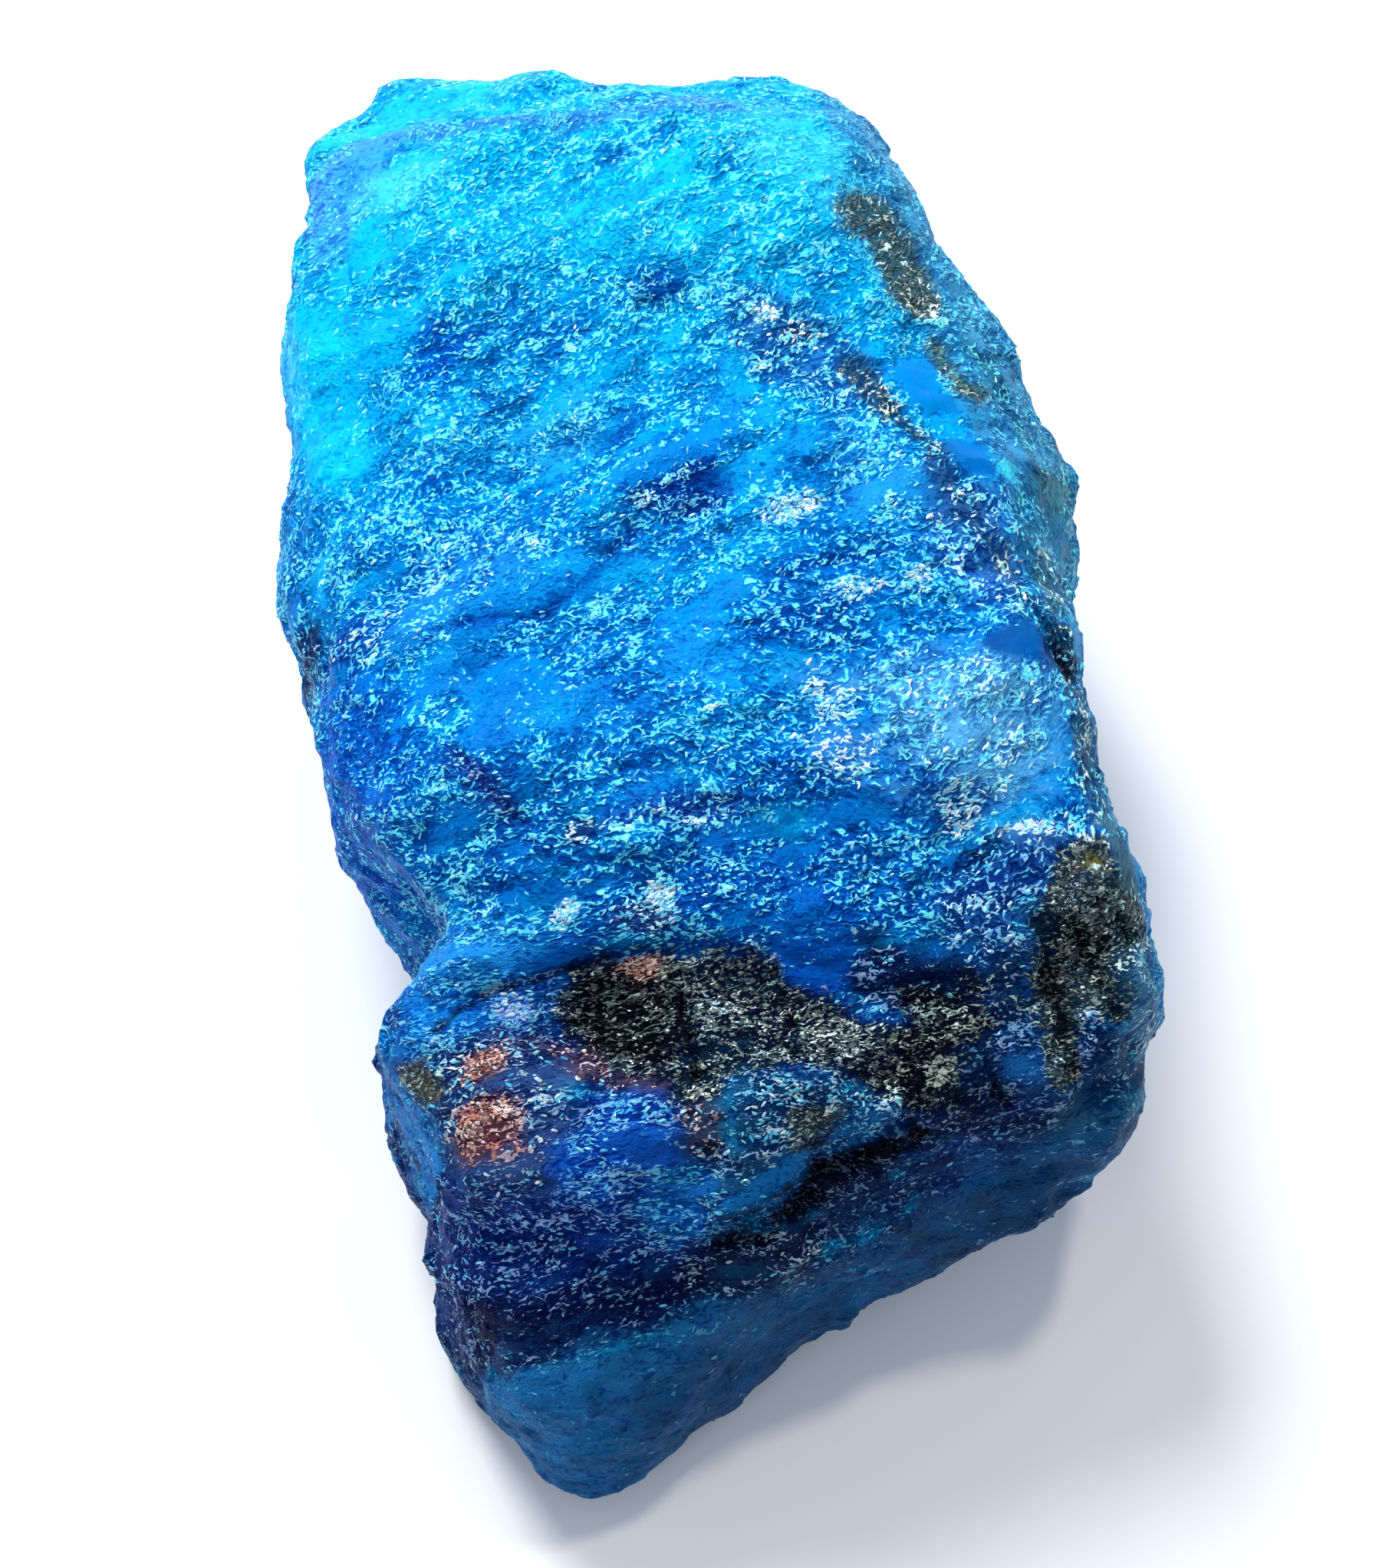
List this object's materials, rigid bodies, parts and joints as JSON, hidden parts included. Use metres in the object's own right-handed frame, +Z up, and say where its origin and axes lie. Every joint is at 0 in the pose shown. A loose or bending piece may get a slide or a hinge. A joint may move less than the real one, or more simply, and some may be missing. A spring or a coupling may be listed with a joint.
{
  "type": "rough sapphire",
  "caption": "Rough uncut sapphire crystal: a broken blue corundum lump with ledges, bevelled edges and a dark mica seam, lying on a flat parting face.",
  "frame": {"origin": "under the middle of the bounding box, on the flat parting face it lies on", "axes": "+Z up; +Y along the length, towards the broad pale end; +X towards the bevelled long edge"},
  "size_m": [0.044, 0.0706, 0.0267],
  "materials": {
    "sapphire": "granular, glossy broken faces"
  },
  "bodies": {
    "root": {"rough_sapphire": "sapphire"}
  },
  "joints": []
}
